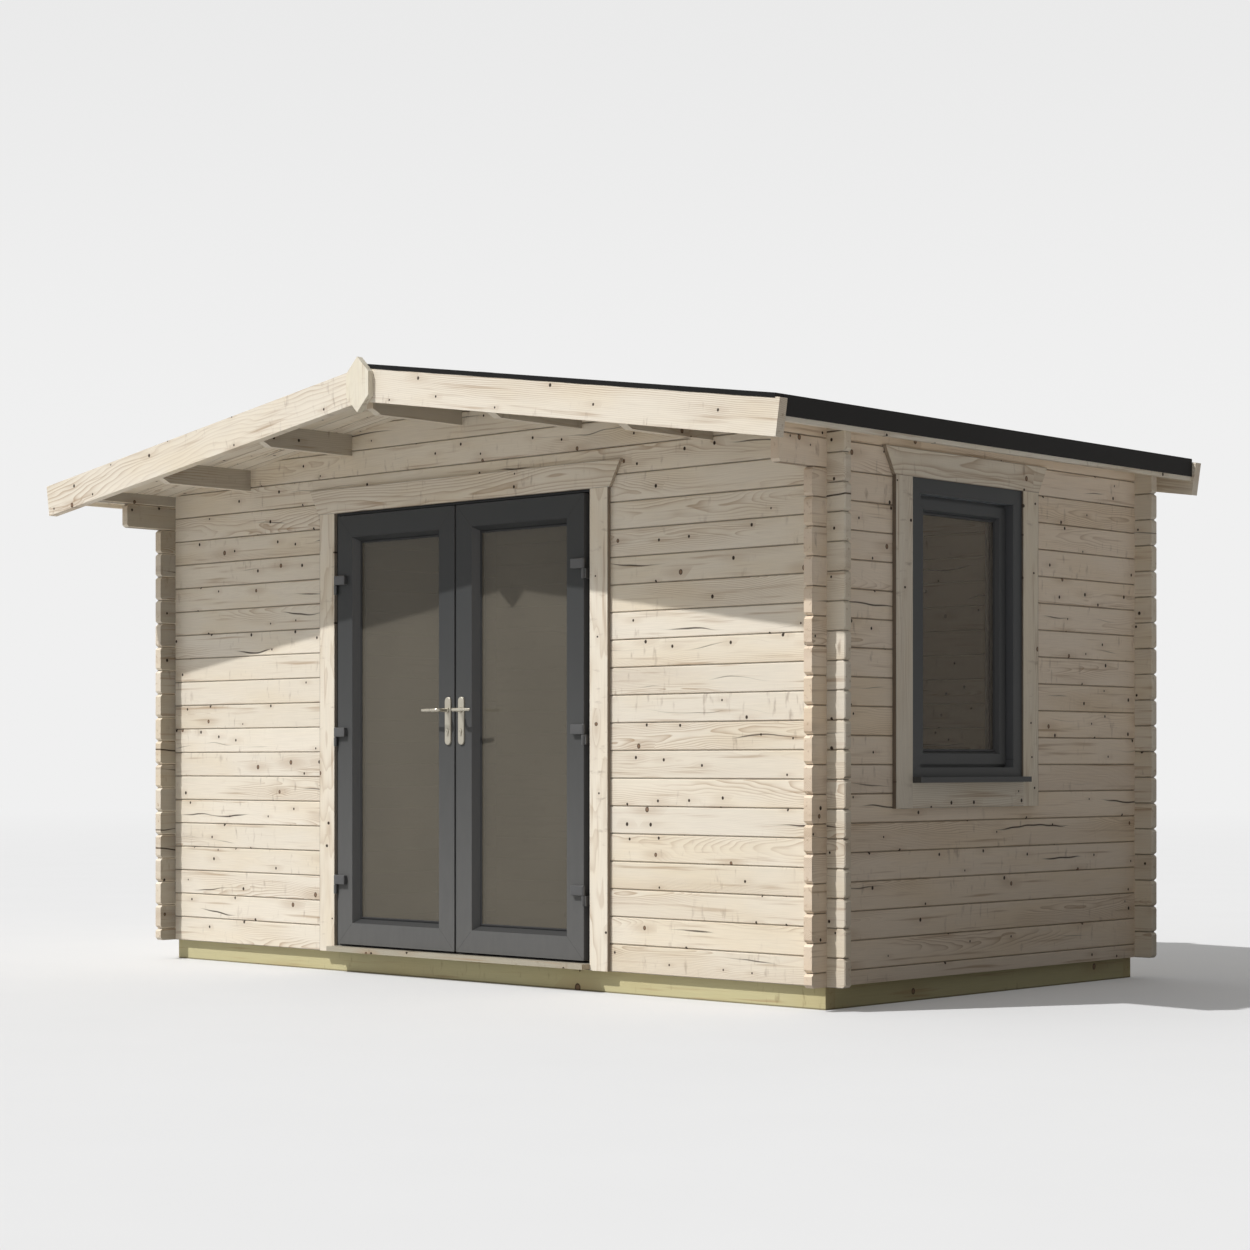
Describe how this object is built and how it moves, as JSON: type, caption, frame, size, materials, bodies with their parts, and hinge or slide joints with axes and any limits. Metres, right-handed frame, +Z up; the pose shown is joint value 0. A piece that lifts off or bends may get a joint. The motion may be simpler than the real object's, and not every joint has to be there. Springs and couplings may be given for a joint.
{
  "type": "log cabin",
  "caption": "Small garden log cabin of interlocking logs with a low felted gable roof, a front canopy, glazed double doors that open outward and a fixed side window.",
  "frame": {"origin": "on the ground, in the middle of the rectangle that the outer faces of the walls make", "axes": "+X to the right as one faces the doors, +Y from the front to the back, +Z up; the doors face -Y"},
  "size_m": [4.568, 2.97, 2.6627],
  "materials": {
    "logs": "planed spruce",
    "treated_timber": "pressure treated, sawn",
    "floor_boards": "planed",
    "roof_timber": "planed spruce",
    "trim_timber": "planed spruce",
    "insulation": "rigid foam board",
    "felt": "bitumen felt",
    "painted_frame": "anthracite satin paint",
    "hinge_metal": "dark satin",
    "handle_metal": "satin",
    "glass": "clear sealed unit"
  },
  "bodies": {
    "cabin": {"base_bearers": "treated_timber", "base_joists": "treated_timber", "floor": "floor_boards", "front_wall_left": "logs", "front_wall_right": "logs", "front_wall_gable": "logs", "left_wall": "logs", "right_wall": "logs", "back_wall": "logs", "ridge_purlin": "roof_timber", "left_purlins": "roof_timber", "right_purlins": "roof_timber", "left_roof_boards": "roof_timber", "right_roof_boards": "roof_timber", "roof_insulation": "insulation", "left_roof_felt": "felt", "right_roof_felt": "felt", "left_fascia": "roof_timber", "right_fascia": "roof_timber", "left_barge_boards": "trim_timber", "right_barge_boards": "trim_timber", "finials": "trim_timber", "door_frame": "painted_frame", "door_threshold": "trim_timber", "door_side_trims": "trim_timber", "door_head_trim": "trim_timber", "hinge_pins": "hinge_metal", "window_frame": "painted_frame", "window_sash": "painted_frame", "window_glass": "glass", "window_sill": "painted_frame", "window_side_trims": "trim_timber", "window_head_trim": "trim_timber", "window_apron": "trim_timber"},
    "left_door": {"left_door_leaf": "painted_frame", "left_door_glass": "glass", "left_hinge_flags": "hinge_metal", "left_handle_plates": "handle_metal"},
    "right_door": {"right_door_leaf": "painted_frame", "right_door_glass": "glass", "right_hinge_flags": "hinge_metal", "right_handle_plates": "handle_metal"},
    "left_handle": {"left_lever": "handle_metal"},
    "right_handle": {"right_lever": "handle_metal"}
  },
  "joints": [
    {"name": "left_door_hinge", "type": "hinge", "parent": "cabin", "child": "left_door", "pos_m": [-0.784, -1.141, 1.1], "axis": [0, 0, -1], "range_deg": [0, 95]},
    {"name": "right_door_hinge", "type": "hinge", "parent": "cabin", "child": "right_door", "pos_m": [0.784, -1.141, 1.1], "axis": [0, 0, 1], "range_deg": [0, 95]},
    {"name": "left_lever_turn", "type": "hinge", "parent": "left_door", "child": "left_handle", "pos_m": [-0.042, -1.132, 1.184], "axis": [0, -1, 0], "range_deg": [0, 40], "stiffness_Nm_per_rad": 2, "springref_deg": -20.05},
    {"name": "right_lever_turn", "type": "hinge", "parent": "right_door", "child": "right_handle", "pos_m": [0.042, -1.132, 1.184], "axis": [0, 1, 0], "range_deg": [0, 40], "stiffness_Nm_per_rad": 2, "springref_deg": -20.05}
  ]
}
